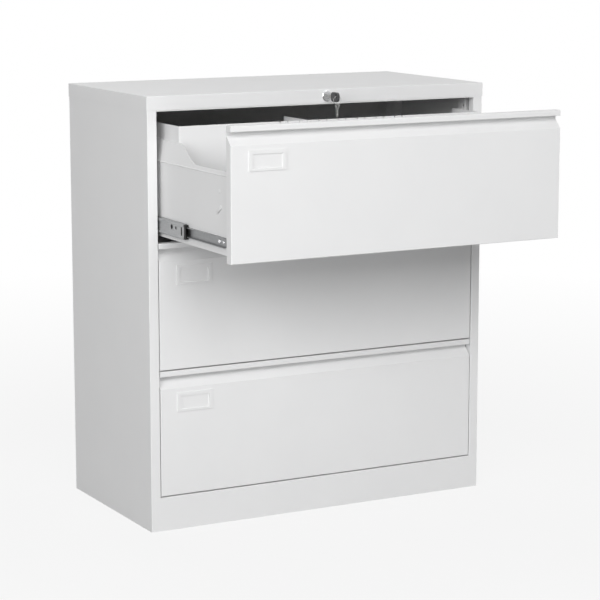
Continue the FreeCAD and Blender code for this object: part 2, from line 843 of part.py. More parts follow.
def lock_catch(level):
    """The bracket on the drawer's right wall that the lock's finger drops in front of."""
    front = f"({LOCK_Y} + {BAR_Y} + bar_thickness + catch_gap + {BODY_Y})"
    tip = f"({OPEN_X} - catch_room)"
    points = [
        (WALL_X, front),
        (tip, front),
        (tip, f"{front} + catch_sheet"),
        (f"{WALL_X} + catch_sheet", f"{front} + catch_sheet"),
        (f"{WALL_X} + catch_sheet", f"{front} + catch_length"),
        (WALL_X, f"{front} + catch_length"),
    ]
    body = profile(f"catch_{level}", "XY", points, ("catch_level", "catch_level + catch_height"))
    node(f"lock_catch_{level}", seat(body, level, 1))


# Lock


def lock_housing():
    """The barrel through the lid's flange and the rail, with a bright bezel in front."""
    points = [
        (BORE, "-bezel_proud"),
        ("bezel_diameter / 2 - bezel_edge", "-bezel_proud"),
        ("bezel_diameter / 2", "-bezel_proud + bezel_edge"),
        ("bezel_diameter / 2", "0"),
        ("barrel_diameter / 2", "0"),
        ("barrel_diameter / 2", "barrel_length"),
        (BORE, "barrel_length"),
    ]
    node("lock_housing", at_lock(revolved("housing", points)))


def lock_nut():
    """The nut that draws the barrel up against the rail."""
    start = "(2 * sheet + fit)"
    inside = "barrel_diameter / 2 + fit"
    points = rectangle((inside, "nut_diameter / 2"), (start, f"{start} + nut_thickness"))
    node("lock_nut", at_lock(revolved("nut", points)))


def lock_plug():
    """The part that turns with the key, slotted for the key's blade."""
    face = "(-bezel_proud + fit)"
    points = rectangle(("0", "plug_diameter / 2"), (face, CAM_Y))
    body = revolved("plug", points)
    half_x = "(blade_thickness / 2 + fit)"
    half_z = "(blade_height / 2 + fit)"
    slot = rectangle((f"-{half_x}", half_x), (f"-{half_z}", half_z))
    pocket(body, "XZ", (face, "blade_depth + fit"), [slot])
    node("lock_plug", at_lock(body))


def lock_cam():
    """The arm behind the plug, whose pin runs in the crossbar's slot."""
    thickness = (CAM_Y, f"{CAM_Y} + cam_thickness")
    pin_end = f"{BAR_Y} + bar_thickness + bar_play"
    hub = rod("cam_hub", "y", thickness, ("0", "0"), "plug_diameter")
    arm = box("cam_arm", ("0", CAM_REACH), thickness, ("-cam_width / 2", "cam_width / 2"))
    end = rod("cam_end", "y", thickness, (CAM_REACH, "0"), "cam_width")
    pin = rod("cam_pin", "y", (CAM_Y, pin_end), (CAM_REACH, "0"), "pin_diameter")
    made = fuse("cam", hub, arm, end, pin)
    made.Placement.Rotation = FreeCAD.Rotation(FreeCAD.Vector(0, 1, 0), CAM_REST_ANGLE)
    node("lock_cam", at_lock(made))


def bar_span():
    """The bars' front and back faces."""
    return (f"{LOCK_Y} + {BAR_Y}", f"{LOCK_Y} + {BAR_Y} + bar_thickness")


def lock_crossbar():
    """The bar from the lock to the right side, slotted for the cam's pin."""
    middle = f"({LOCK_Z} + lock_throw / 2)"
    z = (f"{middle} - bar_height / 2", f"{middle} + bar_height / 2")
    bar = box("crossbar_blank", ("lock_offset - bar_overhang", SIDE_BAR[0]), bar_span(), z)
    room = "(pin_diameter / 2 + 2 * bar_play)"
    slot_x = (f"lock_offset + lock_throw / 2 - {room}", f"lock_offset + {CAM_REACH} + {room}")
    slot = box("crossbar_slot", slot_x, bar_span(), (f"{middle} - {room}", f"{middle} + {room}"))
    node("lock_crossbar", cut("crossbar", bar, slot))


def lock_side_bar():
    """The upright bar behind the right stile."""
    foot = f"{front_z('bottom')} + catch_level - bar_tail"
    z = (foot, f"{LOCK_Z} + lock_throw / 2 + bar_height / 2")
    node("lock_side_bar", box("side_bar", SIDE_BAR, bar_span(), z))


def lock_fingers():
    """The tabs on the upright bar that drop in front of the drawers' catches."""
    made = []
    for level in LEVELS:
        foot = f"({front_z(level)} + catch_level + catch_height + finger_room)"
        x = (f"{SIDE_BAR[0]} - finger_reach", SIDE_BAR[0])
        made.append(box(f"finger_{level}", x, bar_span(), (foot, f"{foot} + finger_height")))
    node("lock_fingers", group("fingers", *made))


def lock_bar_guides():
    """The brackets on the right front upright that the upright bar slides in."""
    low, high = SIDE_BAR
    front, back = bar_span()
    lip = f"{front} - bar_play"
    outside = (f"{low} - fit - guide_wall", f"{high} + fit + guide_wall")
    face = f"-{BODY_Y} + upright_front - upright_depth / 2"
    points = [
        (outside[0], f"{lip} - guide_wall"),
        (f"{low} + guide_wall", f"{lip} - guide_wall"),
        (f"{low} + guide_wall", lip),
        (f"{low} - fit", lip),
        (f"{low} - fit", f"{back} + fit"),
        (f"{high} + fit", f"{back} + fit"),
        (f"{high} + fit", lip),
        (f"{high} - guide_wall", lip),
        (f"{high} - guide_wall", f"{lip} - guide_wall"),
        (outside[1], f"{lip} - guide_wall"),
        (outside[1], face),
        (outside[0], face),
    ]
    made = []
    for level in ("bottom", "top"):
        foot = f"({front_z(level)} + guide_level)"
        made.append(profile(f"guide_{level}", "XY", points, (foot, f"{foot} + guide_height")))
    node("lock_bar_guides", group("guides", *made))


def key_blade():
    x = ("-blade_thickness / 2", "blade_thickness / 2")
    made = box("blade", x, (BOW_BACK, "blade_depth"), ("-blade_height / 2", "blade_height / 2"))
    node("key_blade", at_lock(group("blade_seat", made)))


def key_bow():
    """The plastic head of the key in the lock, with a hole for the ring near its upper outer corner."""
    outline = rectangle((BOW_FRONT, BOW_BACK), ("-bow_height / 2", "bow_height / 2"))
    span = ("-key_thickness / 2", "key_thickness / 2")
    body = profile("bow", "YZ", outline, span)
    pocket(body, "YZ", span, circles=[((HOLE_Y, HOLE_Z), "bow_hole")])

    def at_corner(first, last):
        """Whether an edge runs through the head's thickness at a corner."""
        return abs(first.x - last.x) > CLOSE and near(abs(first.z), "bow_height / 2")

    round_edges(body, "bow_corner", at_corner)
    node("key_bow", at_lock(body))


def key_ring():
    made = DOC.addObject("Part::Torus", "ring")
    bind(made, "Radius1", "ring_diameter / 2")
    bind(made, "Radius2", "ring_wire / 2")
    made.Placement.Rotation = FreeCAD.Rotation(FreeCAD.Vector(1, 0, 0), 90)
    place(made, y=HOLE_Y, z=RING_Z)
    node("key_ring", at_lock(group("ring_seat", made)))


# The whole cabinet


def carcass():
    for hand in HANDS:
        side_panel(hand)
    back_panel()
    top_lid()
    base_tray()
    front_top_rail()
    slide_uprights()
    drawer_buffers()
    slide_screws()


def lock():
    lock_housing()
    lock_nut()
    lock_plug()
    lock_cam()
    lock_crossbar()
    lock_side_bar()
    lock_fingers()
    lock_bar_guides()
    key_blade()
    key_bow()
    key_ring()


def drawer(level):
    drawer_front(level)
    front_liner(level)
    label_holder(level)
    drawer_bottom(level)
    for hand in HANDS:
        drawer_side(level, hand)
    drawer_back(level)
    file_dividers(level)
    lock_catch(level)
    slide_outer(level)
    slide_middle(level)
    slide_inner(level)
    ball_retainers(level)


def check():
    """Stops on any object that failed to compute and on any piece without a sound shape."""
    for made in DOC.Objects:
        if any(word in made.State for word in ("Invalid", "Error")):
            raise ValueError(f"{made.Label}: {made.State}")
    for name, made in NODES.items():
        if made.Shape.isNull() or not made.Shape.isValid() or not made.Shape.Solids:
            raise ValueError(f"{name}: no sound shape")


def export():
    os.makedirs("parts", exist_ok=True)
    for name, made in NODES.items():
        made.Shape.exportStep(os.path.join("parts", name + ".step"))


fill_sheet()
carcass()
lock()
for each in LEVELS:
    drawer(each)
DOC.recompute()
check()
export()
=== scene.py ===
"""The looks of a white lateral filing cabinet with its top drawer drawn out, its light and its camera.

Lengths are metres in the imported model's frame, unless a comment says millimetres. +X is to the right, +Y to
the back and +Z up, with the floor at z 0.
"""

import json
import math

import bmesh
import bpy
from mathutils import Matrix, Vector

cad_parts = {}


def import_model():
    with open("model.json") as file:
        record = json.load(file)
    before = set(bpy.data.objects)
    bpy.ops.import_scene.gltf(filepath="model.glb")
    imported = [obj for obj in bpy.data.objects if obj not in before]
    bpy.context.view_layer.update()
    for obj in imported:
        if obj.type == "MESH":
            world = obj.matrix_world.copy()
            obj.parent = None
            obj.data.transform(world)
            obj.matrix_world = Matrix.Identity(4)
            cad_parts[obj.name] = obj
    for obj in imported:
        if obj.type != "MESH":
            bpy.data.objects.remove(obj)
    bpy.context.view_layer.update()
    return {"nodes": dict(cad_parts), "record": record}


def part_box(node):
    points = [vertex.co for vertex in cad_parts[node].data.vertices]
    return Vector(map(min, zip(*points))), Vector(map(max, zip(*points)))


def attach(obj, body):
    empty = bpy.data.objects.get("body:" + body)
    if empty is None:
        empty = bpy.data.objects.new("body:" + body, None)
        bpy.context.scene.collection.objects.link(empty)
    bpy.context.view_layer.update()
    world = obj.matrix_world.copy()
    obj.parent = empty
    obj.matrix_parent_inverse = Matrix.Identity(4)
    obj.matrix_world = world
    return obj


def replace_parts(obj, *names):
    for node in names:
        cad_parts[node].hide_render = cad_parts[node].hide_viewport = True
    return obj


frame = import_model()
NODES = frame["nodes"]
SLOT_OF = {part["node"]: part["material_slot"] for part in frame["record"]["subparts"]}

LEVELS = ("bottom", "middle", "top")
SIDES = (-1, 1)
MM = 0.001


# Node trees


def new_material(name):
    """An empty material, with its tree and its shader."""
    made = bpy.data.materials.new(name)
    made.use_nodes = True
    tree = made.node_tree
    return made, tree, tree.nodes["Principled BSDF"]


def add(tree, kind, **inputs):
    """A new node with some of its inputs set."""
    made = tree.nodes.new("ShaderNode" + kind)
    for name, value in inputs.items():
        made.inputs[name.replace("_", " ")].default_value = value
    return made


def noise(tree, size, detail=2.0, stretch=(1, 1, 1)):
    """Noise whose grains are about the given size in metres, stretched along an axis where asked."""
    place = add(tree, "TexCoord")
    scale = add(tree, "Mapping", Scale=[1 / (size * s) for s in stretch])
    made = add(tree, "TexNoise", Scale=1.0, Detail=detail)
    tree.links.new(place.outputs["Object"], scale.inputs["Vector"])
    tree.links.new(scale.outputs["Vector"], made.inputs["Vector"])
    return made.outputs["Fac"]


def combine(tree, operation, first, second):
    """The result of a piece of arithmetic on two values."""
    made = tree.nodes.new("ShaderNodeMath")
    made.operation = operation
    tree.links.new(first, made.inputs[0])
    tree.links.new(second, made.inputs[1])
    return made.outputs[0]


def mix_shaders(tree, factor, first, second):
    """The first shader where the factor is 0, and the second where it is 1."""
    made = tree.nodes.new("ShaderNodeMixShader")
    tree.links.new(factor, made.inputs["Fac"])
    tree.links.new(first, made.inputs[1])
    tree.links.new(second, made.inputs[2])
    return made.outputs[0]


def colour(tree, shader, factor, first, second):
    """Lets the shader's colour wander between two, by the factor."""
    made = tree.nodes.new("ShaderNodeMix")
    made.data_type = "RGBA"
    made.inputs["A"].default_value = (*first, 1)
    made.inputs["B"].default_value = (*second, 1)
    tree.links.new(factor, made.inputs["Factor"])
    tree.links.new(made.outputs["Result"], shader.inputs["Base Color"])


def roughness(tree, shader, factor, low, high):
    """Spreads the factor's middle half from low to high, as the shader's roughness."""
    made = add(tree, "MapRange", From_Min=0.25, From_Max=0.75, To_Min=low, To_Max=high)
    tree.links.new(factor, made.inputs["Value"])
    tree.links.new(made.outputs["Result"], shader.inputs["Roughness"])


def bump(tree, shader, heights):
    """Stacks bumps, each a height and how deep it is in metres, onto the shader's normal."""
    below = None
    for height, depth in heights:
        made = add(tree, "Bump", Strength=1.0, Distance=depth)
        tree.links.new(height, made.inputs["Height"])
        if below:
            tree.links.new(below, made.inputs["Normal"])
        below = made.outputs["Normal"]
    tree.links.new(below, shader.inputs["Normal"])


# Materials

PAINT_DARK = (0.775, 0.777, 0.780)
PAINT_LIGHT = (0.805, 0.806, 0.807)
PAINT_GLOSS = 0.35
PEEL_DEPTH = 0.000018
SPECK_DEPTH = 0.000004


def white_paint():
    """Satin powder coat: faint clouds, and the orange peel of the baked film."""
    made, tree, shader = new_material("white_paint")
    cloud = noise(tree, size=0.12)
    peel = noise(tree, size=0.0022)
    speck = noise(tree, size=0.0006)
    colour(tree, shader, cloud, PAINT_DARK, PAINT_LIGHT)
    roughness(tree, shader, peel, low=0.48, high=0.58)
    shader.inputs["Specular IOR Level"].default_value = PAINT_GLOSS
    bump(tree, shader, [(peel, PEEL_DEPTH), (speck, SPECK_DEPTH)])
    return made


STREAK_DEPTH = 0.000010


def zinc_steel(name, dark, light):
    """Dull zinc plate, drawn along the strip it was rolled from."""
    made, tree, shader = new_material(name)
    streak = noise(tree, size=0.0012, detail=3.0, stretch=(1, 40, 1))
    cloud = noise(tree, size=0.009, detail=3.0)
    colour(tree, shader, cloud, dark, light)
    roughness(tree, shader, streak, low=0.32, high=0.50)
    shader.inputs["Metallic"].default_value = 1.0
    bump(tree, shader, [(streak, STREAK_DEPTH)])
    return made


CHROME_DARK = (0.74, 0.74, 0.75)
CHROME_LIGHT = (0.82, 0.82, 0.83)


def chrome():
    """Bright plate with a faint haze."""
    made, tree, shader = new_material("chrome")
    haze = noise(tree, size=0.004, detail=4.0)
    colour(tree, shader, haze, CHROME_DARK, CHROME_LIGHT)
    roughness(tree, shader, haze, low=0.10, high=0.20)
    shader.inputs["Metallic"].default_value = 1.0
    return made


NICKEL_DARK = (0.40, 0.40, 0.39)
NICKEL_LIGHT = (0.55, 0.55, 0.54)
SCRATCH_DEPTH = 0.000006


def nickel_steel():
    """Nickel plate with fine scratches down the key."""
    made, tree, shader = new_material("nickel_steel")
    scratch = noise(tree, size=0.0005, detail=3.0, stretch=(1, 1, 12))
    colour(tree, shader, scratch, NICKEL_DARK, NICKEL_LIGHT)
    roughness(tree, shader, scratch, low=0.22, high=0.40)
    shader.inputs["Metallic"].default_value = 1.0
    bump(tree, shader, [(scratch, SCRATCH_DEPTH)])
    return made


PIT_SIZE = 0.0005
PIT_DEPTH = 0.0000125
PIT_ROUGHNESS = 0.06


def plastic(name, dark, light, rough, gloss=0.5):
    """Moulded plastic with a fine spark-eroded grain."""
    made, tree, shader = new_material(name)
    shader.inputs["Specular IOR Level"].default_value = gloss
    cloud = noise(tree, size=0.010)
    pits = noise(tree, size=PIT_SIZE, detail=3.0)
    colour(tree, shader, cloud, dark, light)
    roughness(tree, shader, pits, low=rough - PIT_ROUGHNESS, high=rough + PIT_ROUGHNESS)
    bump(tree, shader, [(pits, PIT_DEPTH)])
    return made


ZINC_DARK = (0.32, 0.325, 0.33)
ZINC_LIGHT = (0.42, 0.425, 0.43)
# A darker copy of the zinc for the inner slide members: painted shade, standing in for the shade and dark
# reflections on them
SHADED_ZINC_DARK = (0.24, 0.245, 0.25)
SHADED_ZINC_LIGHT = (0.31, 0.315, 0.32)
NYLON_DARK = (0.74, 0.74, 0.72)
NYLON_LIGHT = (0.80, 0.80, 0.78)
KEY_DARK = (0.040, 0.040, 0.042)
KEY_LIGHT = (0.055, 0.055, 0.058)
BLACK_DARK = (0.012, 0.012, 0.012)
BLACK_LIGHT = (0.020, 0.020, 0.020)

MATERIALS = {
    "white_paint": white_paint(),
    "zinc_steel": zinc_steel("zinc_steel", ZINC_DARK, ZINC_LIGHT),
    "chrome": chrome(),
    "nickel_steel": nickel_steel(),
    "white_nylon": plastic("white_nylon", NYLON_DARK, NYLON_LIGHT, rough=0.45),
    "key_plastic": plastic("key_plastic", KEY_DARK, KEY_LIGHT, rough=0.42),
    "black_plastic": plastic("black_plastic", BLACK_DARK, BLACK_LIGHT, rough=0.55, gloss=0.2),
}
# The same zinc made darker, as painted shade on the inner slide members
SHADED_ZINC = zinc_steel("zinc_painted_shade", SHADED_ZINC_DARK, SHADED_ZINC_LIGHT)


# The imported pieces

FLAT = math.radians(1)
SHARP = math.radians(40)
EDGE = {"white_paint": 0.35 * MM, "zinc_steel": 0.15 * MM}
FINE_EDGE = 0.2 * MM
EDGE_SEGMENTS = 2


def break_edges(made, width):
    """Rounds a piece's sharp edges a little."""
    edge = made.modifiers.new("broken_edges", "BEVEL")
    edge.width = width
    edge.segments = EDGE_SEGMENTS
    edge.limit_method = "ANGLE"
    edge.angle_limit = SHARP
    return edge


def finish_node(name):
    """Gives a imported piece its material, and breaks its sharp edges as folding, plating and paint do."""
    made = NODES[name]
    slot = SLOT_OF[name]
    made.data.materials.clear()
    # The inner slide members take the darker copy of the zinc, which is painted shade
    made.data.materials.append(SHADED_ZINC if name.startswith("slide_inner") else MATERIALS[slot])
    flat = made.modifiers.new("flat_faces", "DECIMATE")
    flat.decimate_type = "DISSOLVE"
    flat.angle_limit = FLAT
    width = FINE_EDGE if name.startswith("label_holder") else EDGE.get(slot, FINE_EDGE)
    break_edges(made, width).harden_normals = True


for each in NODES:
    finish_node(each)


# Meshes of the detail pieces


def loft(shape, loops):
    """Skins a run of closed loops with equal numbers of points, and closes both ends."""
    rows = [[shape.verts.new(point) for point in points] for points in loops]
    for low, high in zip(rows, rows[1:]):
        for i in range(len(low)):
            j = (i + 1) % len(low)
            shape.faces.new((low[i], low[j], high[j], high[i]))
    shape.faces.new(rows[0][::-1])
    shape.faces.new(rows[-1])


def facing(at, out, along):
    """The place of a detail on a face: its own x runs along the face and its z points out of it."""
    out = Vector(out)
    along = Vector(along)
    return Matrix.Translation(at) @ Matrix((along, out.cross(along), out)).transposed().to_4x4()


def add_piece(name, shape, slot, body):
    """Makes a detail piece of a mesh, in the material of a slot, and lets it move with a body."""
    bmesh.ops.recalc_face_normals(shape, faces=shape.faces)
    mesh = bpy.data.meshes.new(name)
    shape.to_mesh(mesh)
    shape.free()
    mesh.materials.append(MATERIALS[slot])
    mesh.shade_smooth()
    mesh.set_sharp_from_angle(angle=SHARP)
    made = bpy.data.objects.new(name, mesh)
    bpy.context.scene.collection.objects.link(made)
    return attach(made, body)


POINTS = 40
SQUARENESS = 0.5


def loop(place, height, reach):
    """A closed loop at a height over a face, as far out at each angle as reach says.

    The half step keeps every angle off the axes, where a cross can't be worked out.
    """
    made = []
    for i in range(POINTS):
        angle = 2 * math.pi * (i + 0.5) / POINTS
        x, y = reach(math.cos(angle), math.sin(angle))
        made.append(place @ Vector((x, y, height)))
    return made


def circle(radius):
    """The reach of a circle."""
    return lambda c, s: (radius * c, radius * s)


def cross(arm, half):
    """The reach of a plus sign, for a driver's recess."""
    def reach(c, s):
        radius = max(min(arm / abs(c), half / abs(s)), min(arm / abs(s), half / abs(c)))
        return radius * c, radius * s
    return reach


def oblong(length, width):
    """The reach of a rectangle with well rounded corners."""
    def reach(c, s):
        x = length / 2 * math.copysign(abs(c) ** SQUARENESS, c)
        y = width / 2 * math.copysign(abs(s) ** SQUARENESS, s)
        return x, y
    return reach


# A screw's head as shares of its radius: radius and height, then the recess's height, arm and half width
SCREW_DOME = [(1.0, 0.0), (1.0, 0.18), (0.93, 0.31), (0.74, 0.39), (0.66, 0.40)]
SCREW_RECESS = [(0.40, 0.56, 0.13), (0.14, 0.44, 0.09)]

# A rivet's head: shares of its radius and of its height
RIVET_DOME = [(1.0, 0.0), (1.0, 0.2), (0.9, 0.6), (0.66, 0.92), (0.42, 1.0), (0.36, 0.9), (0.34, 0.55)]

# A rib's sides: how far they draw in, as a share of its width, and the share of its height there
RIB_SLOPE = [(0.0, 0.0), (0.04, 0.3), (0.12, 0.7), (0.26, 1.0)]


def pan_screw(shape, place, radius):
    """A pan head with a cross recess."""
    loops = [loop(place, h * radius, circle(r * radius)) for r, h in SCREW_DOME]
    for h, arm, half in SCREW_RECESS:
        loops.append(loop(place, h * radius, cross(arm * radius, half * radius)))
    loft(shape, loops)


def blind_rivet(shape, place, radius, height):
    """A dome with the broken stem's pit in its middle."""
    loft(shape, [loop(place, h * height, circle(r * radius)) for r, h in RIVET_DOME])


def pressed_rib(shape, place, length, width, height):
    """A rib pressed out of a sheet, with sloping sides."""
    loops = []
    for s, h in RIB_SLOPE:
        loops.append(loop(place, h * height, oblong(length - s * width, width - s * width)))
    loft(shape, loops)


LOUVRE_SHEET = 0.8 * MM
LOUVRE_STEPS = 14
LOUVRE_END = 0.98


def louvre(shape, place, length, width, height):
    """A lance in a sheet: a thin blister, cut free and open along one long edge."""
    depth = height - LOUVRE_SHEET
    loops = []
    for i in range(LOUVRE_STEPS + 1):
        u = LOUVRE_END * (2 * i / LOUVRE_STEPS - 1)
        under = []
        for j in range(LOUVRE_STEPS + 1):
            v = j / LOUVRE_STEPS
            rise = depth * math.sqrt(1 - u * u) * math.sin(v * math.pi / 2)
            under.append(Vector((u * length / 2, (0.5 - v) * width, rise)))
        over = [point + Vector((0, 0, LOUVRE_SHEET)) for point in under]
        loops.append([place @ point for point in under + over[::-1]])
    loft(shape, loops)


# Details on the drawers

LANCE_BACK = 78 * MM
LANCE_RISE = 109 * MM
LANCE_TILT = math.radians(35)
LANCE_LENGTH = 24 * MM
LANCE_WIDTH = 9 * MM
LANCE_HEIGHT = 3.0 * MM
MARK_RISE = 149 * MM
MARK_RADIUS = 5 * MM
MARK_HEIGHT = 0.9 * MM
INNER_SHEET = 1.2 * MM
INNER_SCREW_BACK = 74 * MM
INNER_SCREW_RADIUS = 5 * MM
INNER_RIVET_BACK = 55 * MM
INNER_RIVET_RADIUS = 3.4 * MM
INNER_RIVET_HEIGHT = 1.2 * MM


def drawer_details(level):
    """The marks pressed in the drawer's walls, and the screws and rivets of its inner slide members."""
    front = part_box(f"drawer_front_{level}")[0]
    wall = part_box(f"drawer_back_{level}")[1].x
    low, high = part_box(f"slide_inner_{level}")
    middle = (low.z + high.z) / 2
    up = (0, 0, 1)
    lances = bmesh.new()
    screws = bmesh.new()
    for side in SIDES:
        out = (side, 0, 0)
        at = Vector((side * wall, front.y + LANCE_BACK, front.z + LANCE_RISE))
        along = (0, side * math.cos(LANCE_TILT), -side * math.sin(LANCE_TILT))
        louvre(lances, facing(at, out, along), LANCE_LENGTH, LANCE_WIDTH, LANCE_HEIGHT)
        at = Vector((side * wall, front.y + LANCE_BACK, front.z + MARK_RISE))
        blind_rivet(lances, facing(at, out, up), MARK_RADIUS, MARK_HEIGHT)
        at = Vector((side * (wall + INNER_SHEET), front.y + INNER_SCREW_BACK, middle))
        pan_screw(screws, facing(at, out, up), INNER_SCREW_RADIUS)
        at.y = front.y + INNER_RIVET_BACK
        blind_rivet(screws, facing(at, out, up), INNER_RIVET_RADIUS, INNER_RIVET_HEIGHT)
    add_piece(f"wall_lances_{level}", lances, "white_paint", f"{level}_drawer")
    add_piece(f"inner_slide_screws_{level}", screws, "chrome", f"{level}_drawer")


# Details on the slides

CLIP_BACK = 13 * MM
CLIP_LENGTH = 19.5 * MM
CLIP_WIDTH = 6 * MM
CLIP_PROUD = 0.6 * MM
RACE_IN = 3.9 * MM
RACE_END = 0.4 * MM

# A raceway's section in millimetres, up along the member and out of it
RACE_BULGE = [(-3.6, 0.0), (-3.2, 0.5), (-2.2, 1.0), (0.0, 1.25), (2.2, 1.0), (3.2, 0.5), (3.6, 0.0)]


def slide_details(level):
    """The rolled raceways of the middle slide members, and the clips that hold their bumpers."""
    low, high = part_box(f"slide_middle_{level}")
    ends = [Vector((0, y, 0)) for y in (low.y + RACE_END, high.y - RACE_END)]
    races = bmesh.new()
    clips = bmesh.new()
    for side in SIDES:
        for z in (low.z + RACE_IN, high.z - RACE_IN):
            section = [Vector((side * (high.x + out * MM), 0, z + up * MM)) for up, out in RACE_BULGE]
            loft(races, [[point + end for point in section] for end in ends])
        at = Vector((side * high.x, low.y + CLIP_BACK, (low.z + high.z) / 2))
        pressed_rib(clips, facing(at, (side, 0, 0), (0, 0, 1)), CLIP_LENGTH, CLIP_WIDTH, CLIP_PROUD)
    add_piece(f"slide_races_{level}", races, "zinc_steel", f"{level}_slides")
    add_piece(f"bumper_clips_{level}", clips, "black_plastic", f"{level}_slides")


# Details on the carcass

RIVETS = 7
RIVET_MARGIN = 60 * MM
RIVET_IN = 10 * MM
RIVET_RADIUS = 3.2 * MM
RIVET_HEIGHT = 1.0 * MM


def rear_rivets():
    """The rivets that hold the back to the side panels' flanges."""
    low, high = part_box("left_side_panel")
    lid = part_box("top_lid")[0].z
    shape = bmesh.new()
    for side in SIDES:
        for step in range(RIVETS):
            z = RIVET_MARGIN + step / (RIVETS - 1) * (lid - 2 * RIVET_MARGIN)
            at = Vector((side * (abs(low.x) - RIVET_IN), high.y, z))
            blind_rivet(shape, facing(at, (0, 1, 0), (0, 0, 1)), RIVET_RADIUS, RIVET_HEIGHT)
    add_piece("rear_rivets", shape, "white_paint", "cabinet")


# A weld's section in millimetres, out from the plinth's end and back from its face
WELD_OUTLINE = [(1.9, 0.03), (0.4, 0.02), (-0.6, 0.03), (-0.3, 1.2), (0.5, 1.8), (1.4, 1.2)]
WELD_END = 0.4 * MM


def plinth_welds():
    """The ground welds that close the seams between the plinth and the stiles."""
    low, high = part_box("base_tray")
    lift = Vector((0, 0, high.z - WELD_END))
    for name, side in (("left", -1), ("right", 1)):
        shape = bmesh.new()
        edge = side * high.x
        points = [Vector((edge + side * u * MM, low.y + v * MM, 0)) for u, v in WELD_OUTLINE]
        loft(shape, [points, [point + lift for point in points]])
        add_piece(f"plinth_weld_{name}", shape, "white_paint", "cabinet")


# Details on the key

WIRE = 0.35 * MM
WIRE_POINTS = 10
RING_WIRE = 2 * WIRE
COIL_GAP = 0.72 * MM
COIL_STEPS = 180
COIL_START = math.pi / 2 + math.pi / 3

# Where the coil's ends lie and where it begins to cross over, and for how long, in turns
COIL_ENDS = (0.06, 1.94)
CROSSING = 0.9
CROSSING_LENGTH = 0.2


def split_ring():
    """Two turns of wire that lie side by side and cross over in one place."""
    low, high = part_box("key_ring")
    centre = (low + high) / 2
    radius = (high.z - low.z) / 2 - RING_WIRE
    loops = []
    for step in range(COIL_STEPS + 1):
        turn = COIL_ENDS[0] + step / COIL_STEPS * (COIL_ENDS[1] - COIL_ENDS[0])
        over = min(max((turn - CROSSING) / CROSSING_LENGTH, 0), 1)
        aside = (over * over * (3 - 2 * over) - 0.5) * COIL_GAP
        angle = COIL_START + 2 * math.pi * turn
        ray = Vector((math.cos(angle), 0, math.sin(angle)))
        at = centre + ray * radius + Vector((0, aside, 0))
        section = []
        for i in range(WIRE_POINTS):
            around = 2 * math.pi * i / WIRE_POINTS
            off = ray * math.cos(around) + Vector((0, math.sin(around), 0))
            section.append(at + WIRE * off)
        loops.append(section)
    shape = bmesh.new()
    loft(shape, loops)
    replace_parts(add_piece("split_ring", shape, "nickel_steel", "key_ring"), "key_ring")


GRIP_RIBS = 5
GRIP_SPACING = 3.0 * MM
GRIP_IN = 9.5 * MM
GRIP_LENGTH = 13 * MM
GRIP_WIDTH = 1.4 * MM
GRIP_HEIGHT = 0.45 * MM


def key_grip():
    """Ribs moulded into both faces of the key's head."""
    low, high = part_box("key_bow")
    shape = bmesh.new()
    for side, x in ((-1, low.x), (1, high.x)):
        for rib in range(GRIP_RIBS):
            z = (low.z + high.z) / 2 + (rib - (GRIP_RIBS - 1) / 2) * GRIP_SPACING
            place = facing(Vector((x, high.y - GRIP_IN, z)), (side, 0, 0), (0, 1, 0))
            pressed_rib(shape, place, GRIP_LENGTH, GRIP_WIDTH, GRIP_HEIGHT)
    add_piece("key_grip", shape, "key_plastic", "lock_key")


SPARE_TWIST = math.radians(24)
HEAD_STEPS = 40
HOLE_POINTS = 28

# The second key in millimetres: the radii of its head and hole, its blade, its cuts and its tip
SPARE_HEAD = 6.2
SPARE_HOLE = 3.2
SPARE_WEB = 2.2
SPARE_THICKNESS = 1.6
SPARE_WIDTH = 7.4
SPARE_LENGTH = 33.4
SPARE_NECK = 1.5
BITTING = (0.6, 1.9, 1.1, 2.3, 1.5, 0.9)
BITTING_FLAT = (0.35, 0.65)
TIP_RISE = 3
TIP_CUT = 1.2
TIP_SLOPE = 3.2
TIP_CHAMFER = 1.6


def spare_outline(top):
    """The second key's outline, forward and up in millimetres: round the head, then the blade."""
    centre = top - SPARE_HEAD
    half = SPARE_WIDTH / 2
    shoulder = math.asin(half / SPARE_HEAD)
    points = []
    for i in range(HEAD_STEPS + 1):
        angle = -math.pi / 2 - shoulder - i / HEAD_STEPS * (2 * math.pi - 2 * shoulder)
        points.append((SPARE_HEAD * math.cos(angle), centre + SPARE_HEAD * math.sin(angle)))
    foot = top - SPARE_LENGTH
    start = points[-1][1] - SPARE_NECK
    points.append((half, start))
    step = (start - foot - TIP_RISE) / len(BITTING)
    for i, depth in enumerate(BITTING):
        for share in BITTING_FLAT:
            points.append((half - depth, start - (i + share) * step))
    points.append((half - TIP_CUT, foot + TIP_RISE))
    points.append((half - TIP_SLOPE, foot))
    points.append((-half + TIP_CHAMFER, foot))
    points.append((-half, foot + TIP_CHAMFER))
    return points


